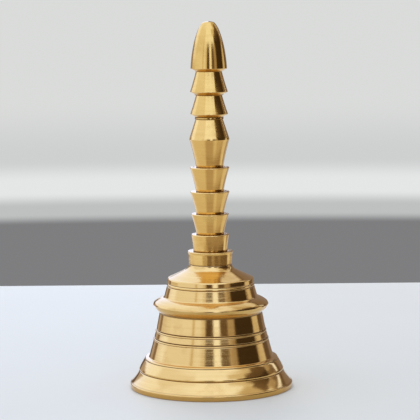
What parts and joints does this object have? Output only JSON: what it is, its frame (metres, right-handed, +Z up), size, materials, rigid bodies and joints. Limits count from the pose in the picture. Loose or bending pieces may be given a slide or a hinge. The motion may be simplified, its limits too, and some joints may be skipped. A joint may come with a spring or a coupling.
{
  "type": "brass hand bell",
  "caption": "Hand bell with a flared, stepped mouth, a long handle of stacked cups and cones under a bullet finial, and a ball clapper hung inside.",
  "frame": {"origin": "centre of the mouth, on the plane that the lip rests on", "axes": "+Z up the bell's axis towards the finial; the clapper's main swing is along X"},
  "size_m": [0.0802, 0.0802, 0.18],
  "materials": {
    "polished_brass": "lathe-turned and polished",
    "clapper_brass": "turned, slightly dull",
    "link_wire": "drawn wire",
    "zinc_steel": "zinc plated"
  },
  "bodies": {
    "bell": {"bell_shell": "polished_brass", "neck_socket": "polished_brass", "plain_ring": "polished_brass", "cup_lower": "polished_brass", "cup_middle": "polished_brass", "cup_upper": "polished_brass", "centre_bicone": "polished_brass", "cone_lower": "polished_brass", "cone_upper": "polished_brass", "finial": "polished_brass", "tie_rod": "zinc_steel", "crown_washer": "zinc_steel", "hex_nut": "zinc_steel"},
    "link": {"clapper_link": "link_wire"},
    "clapper": {"clapper_stem": "clapper_brass", "clapper_ball": "clapper_brass"}
  },
  "joints": [
    {"name": "link_swing", "type": "hinge", "parent": "bell", "child": "link", "pos_m": [0, 0, 0.043], "axis": [0, 1, 0], "range_deg": [-37.5, 37.5]},
    {"name": "clapper_rock", "type": "hinge", "parent": "link", "child": "clapper", "pos_m": [0, 0, 0.0376], "axis": [1, 0, 0], "range_deg": [-10, 10]}
  ]
}
